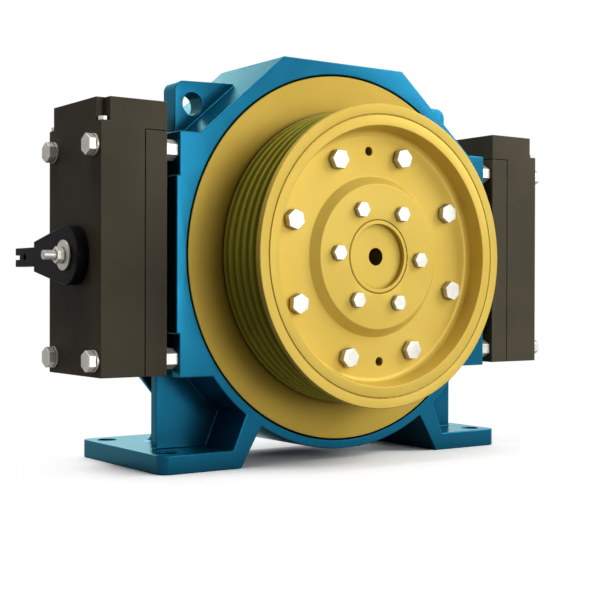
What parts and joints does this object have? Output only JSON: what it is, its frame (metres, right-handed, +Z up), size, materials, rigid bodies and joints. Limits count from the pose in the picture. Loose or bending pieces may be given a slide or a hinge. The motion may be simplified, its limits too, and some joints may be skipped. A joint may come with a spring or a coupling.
{
  "type": "elevator traction machine",
  "caption": "Gearless elevator machine: grooved rope sheave on a disc-shaped outer-rotor motor in a footed frame, with a shoe brake and hand release lever on each side.",
  "frame": {"origin": "centre of the four foot bolt holes, on the underside of the feet", "axes": "+X to the right seen from the sheave, +Y along the shaft from the sheave to the rear, +Z up"},
  "size_m": [0.847, 0.33, 0.555],
  "materials": {
    "casting_paint": "satin blue enamel over cast iron",
    "core_steel": "varnished laminations",
    "copper": "varnished copper",
    "bearing_steel": "ground steel",
    "zinc": "bright zinc plating",
    "box_paint": "satin blue enamel",
    "encoder_case": "dark anodised",
    "gland_plastic": "matte black",
    "rotor_paint": "satin yellow enamel",
    "magnet_nickel": "nickel plated",
    "encoder_disc": "machined",
    "brake_paint": "satin black enamel",
    "coil_resin": "brown resin",
    "spring_steel": "oiled spring steel",
    "lining": "pressed friction material",
    "lever_paint": "black finish"
  },
  "bodies": {
    "frame": {"frame_casting": "casting_paint", "stator_core": "core_steel", "stator_windings": "copper", "front_bearing_outer": "bearing_steel", "rear_bearing_outer": "bearing_steel", "rear_bearing_cover": "casting_paint", "bearing_cover_screws": "zinc", "encoder_housing": "encoder_case", "encoder_screws": "zinc", "terminal_box": "box_paint", "terminal_box_lid": "box_paint", "terminal_lid_screws": "zinc", "cable_glands": "gland_plastic", "left_magnet_housing": "brake_paint", "right_magnet_housing": "brake_paint", "left_brake_coil": "coil_resin", "right_brake_coil": "coil_resin", "left_brake_springs": "spring_steel", "right_brake_springs": "spring_steel", "left_brake_bolts": "zinc", "right_brake_bolts": "zinc", "left_brake_washers": "zinc", "right_brake_washers": "zinc", "left_brake_spacers": "zinc", "right_brake_spacers": "zinc", "left_housing_screws": "zinc", "right_housing_screws": "zinc"},
    "rotor": {"shaft": "rotor_paint", "traction_sheave": "rotor_paint", "rotor_drum": "rotor_paint", "magnets": "magnet_nickel", "sheave_bolts": "zinc", "hub_bolts": "zinc", "front_bearing_inner": "bearing_steel", "rear_bearing_inner": "bearing_steel", "front_bearing_balls": "bearing_steel", "rear_bearing_balls": "bearing_steel", "shaft_lock_nut": "bearing_steel", "encoder_rotor": "encoder_disc"},
    "left_shoe": {"left_armature": "brake_paint", "left_brake_shoe": "brake_paint", "left_lining": "lining", "left_release_stud": "zinc", "left_stud_washer": "zinc", "left_stud_nut": "zinc"},
    "right_shoe": {"right_armature": "brake_paint", "right_brake_shoe": "brake_paint", "right_lining": "lining", "right_release_stud": "zinc", "right_stud_washer": "zinc", "right_stud_nut": "zinc"},
    "left_lever": {"left_release_lever": "lever_paint"},
    "right_lever": {"right_release_lever": "lever_paint"}
  },
  "joints": [
    {"name": "rotor_spin", "type": "hinge", "parent": "frame", "child": "rotor", "pos_m": [0, 0, 0.283], "axis": [0, 1, 0], "continuous": true},
    {"name": "left_lever_turn", "type": "hinge", "parent": "frame", "child": "left_lever", "pos_m": [-0.386, -0.04725, 0.281], "axis": [1, 0, 0], "range_deg": [0, 20]},
    {"name": "right_lever_turn", "type": "hinge", "parent": "frame", "child": "right_lever", "pos_m": [0.386, -0.04725, 0.281], "axis": [1, 0, 0], "range_deg": [0, 20]},
    {"name": "left_shoe_release", "type": "slide", "parent": "frame", "child": "left_shoe", "axis": [-1, 0, 0], "range_m": [0, 0.0005], "stiffness_N_per_m": 20000, "springref_m": -0.01},
    {"name": "right_shoe_release", "type": "slide", "parent": "frame", "child": "right_shoe", "axis": [1, 0, 0], "range_m": [0, 0.0005], "stiffness_N_per_m": 20000, "springref_m": -0.01}
  ],
  "couplings": [
    {"joint": "left_shoe_release", "follows": "left_lever_turn", "m_per_rad": 0.00143},
    {"joint": "right_shoe_release", "follows": "right_lever_turn", "m_per_rad": 0.00143}
  ]
}
